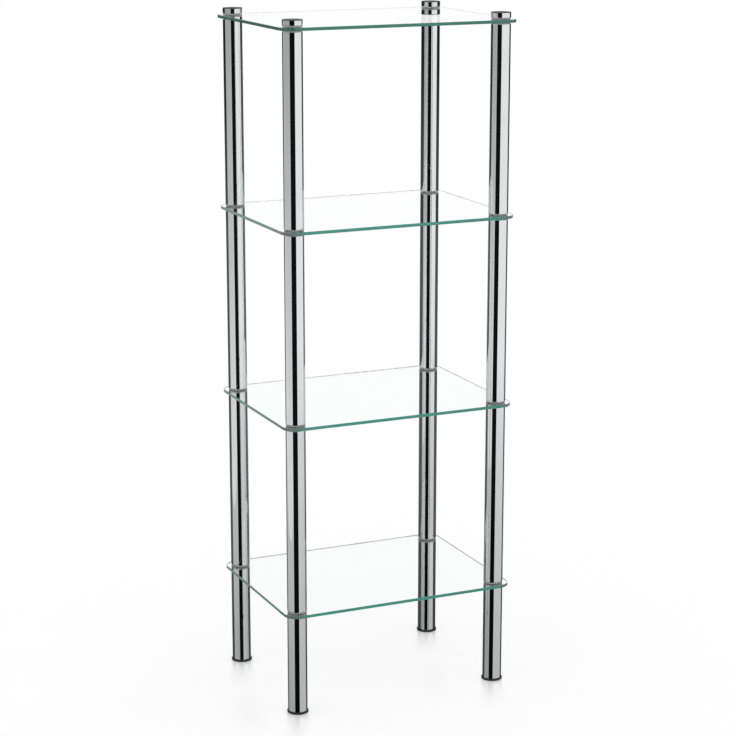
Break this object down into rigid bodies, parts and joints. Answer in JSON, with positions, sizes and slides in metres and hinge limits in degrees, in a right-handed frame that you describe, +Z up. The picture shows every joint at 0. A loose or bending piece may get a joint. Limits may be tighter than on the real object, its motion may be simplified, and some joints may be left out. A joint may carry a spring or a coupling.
{
  "type": "glass shelving unit",
  "caption": "Free-standing open shelving unit: clear rectangular glass shelves with rounded corners, clamped at each corner between stacked round chrome tubes, on low screw-in feet.",
  "frame": {"origin": "on the floor, at the centre of the unit's footprint", "axes": "+X to the right across the shelves' long side, +Y to the rear, +Z up along the posts"},
  "size_m": [0.4, 0.3, 1.1115],
  "materials": {
    "clear_glass": "polished clear float glass with a green tint at the ground edges",
    "chrome_tube": "bright chrome plate on steel tube",
    "chrome_cap": "bright chrome plate, rounded rim",
    "grey_grommet": "soft grey, satin",
    "steel_stud": "zinc-plated threaded rod",
    "black_foot": "moulded black, satin"
  },
  "bodies": {
    "unit": {"top_shelf": "clear_glass", "upper_shelf": "clear_glass", "lower_shelf": "clear_glass", "bottom_shelf": "clear_glass", "upper_post_front_left": "chrome_tube", "upper_post_front_right": "chrome_tube", "upper_post_rear_left": "chrome_tube", "upper_post_rear_right": "chrome_tube", "middle_post_front_left": "chrome_tube", "middle_post_front_right": "chrome_tube", "middle_post_rear_left": "chrome_tube", "middle_post_rear_right": "chrome_tube", "lower_post_front_left": "chrome_tube", "lower_post_front_right": "chrome_tube", "lower_post_rear_left": "chrome_tube", "lower_post_rear_right": "chrome_tube", "leg_front_left": "chrome_tube", "leg_front_right": "chrome_tube", "leg_rear_left": "chrome_tube", "leg_rear_right": "chrome_tube", "top_grommet_front_left": "grey_grommet", "top_grommet_front_right": "grey_grommet", "top_grommet_rear_left": "grey_grommet", "top_grommet_rear_right": "grey_grommet", "upper_grommet_front_left": "grey_grommet", "upper_grommet_front_right": "grey_grommet", "upper_grommet_rear_left": "grey_grommet", "upper_grommet_rear_right": "grey_grommet", "lower_grommet_front_left": "grey_grommet", "lower_grommet_front_right": "grey_grommet", "lower_grommet_rear_left": "grey_grommet", "lower_grommet_rear_right": "grey_grommet", "bottom_grommet_front_left": "grey_grommet", "bottom_grommet_front_right": "grey_grommet", "bottom_grommet_rear_left": "grey_grommet", "bottom_grommet_rear_right": "grey_grommet", "top_stud_front_left": "steel_stud", "top_stud_front_right": "steel_stud", "top_stud_rear_left": "steel_stud", "top_stud_rear_right": "steel_stud", "upper_stud_front_left": "steel_stud", "upper_stud_front_right": "steel_stud", "upper_stud_rear_left": "steel_stud", "upper_stud_rear_right": "steel_stud", "lower_stud_front_left": "steel_stud", "lower_stud_front_right": "steel_stud", "lower_stud_rear_left": "steel_stud", "lower_stud_rear_right": "steel_stud", "bottom_stud_front_left": "steel_stud", "bottom_stud_front_right": "steel_stud", "bottom_stud_rear_left": "steel_stud", "bottom_stud_rear_right": "steel_stud", "cap_front_left": "chrome_cap", "cap_front_right": "chrome_cap", "cap_rear_left": "chrome_cap", "cap_rear_right": "chrome_cap"},
    "foot_front_left": {"foot_front_left": "black_foot"},
    "foot_front_right": {"foot_front_right": "black_foot"},
    "foot_rear_left": {"foot_rear_left": "black_foot"},
    "foot_rear_right": {"foot_rear_right": "black_foot"}
  },
  "joints": [
    {"name": "foot_front_left_level", "type": "slide", "parent": "unit", "child": "foot_front_left", "axis": [0, 0, -1], "range_m": [0, 0.008]},
    {"name": "foot_front_right_level", "type": "slide", "parent": "unit", "child": "foot_front_right", "axis": [0, 0, -1], "range_m": [0, 0.008]},
    {"name": "foot_rear_left_level", "type": "slide", "parent": "unit", "child": "foot_rear_left", "axis": [0, 0, -1], "range_m": [0, 0.008]},
    {"name": "foot_rear_right_level", "type": "slide", "parent": "unit", "child": "foot_rear_right", "axis": [0, 0, -1], "range_m": [0, 0.008]}
  ]
}
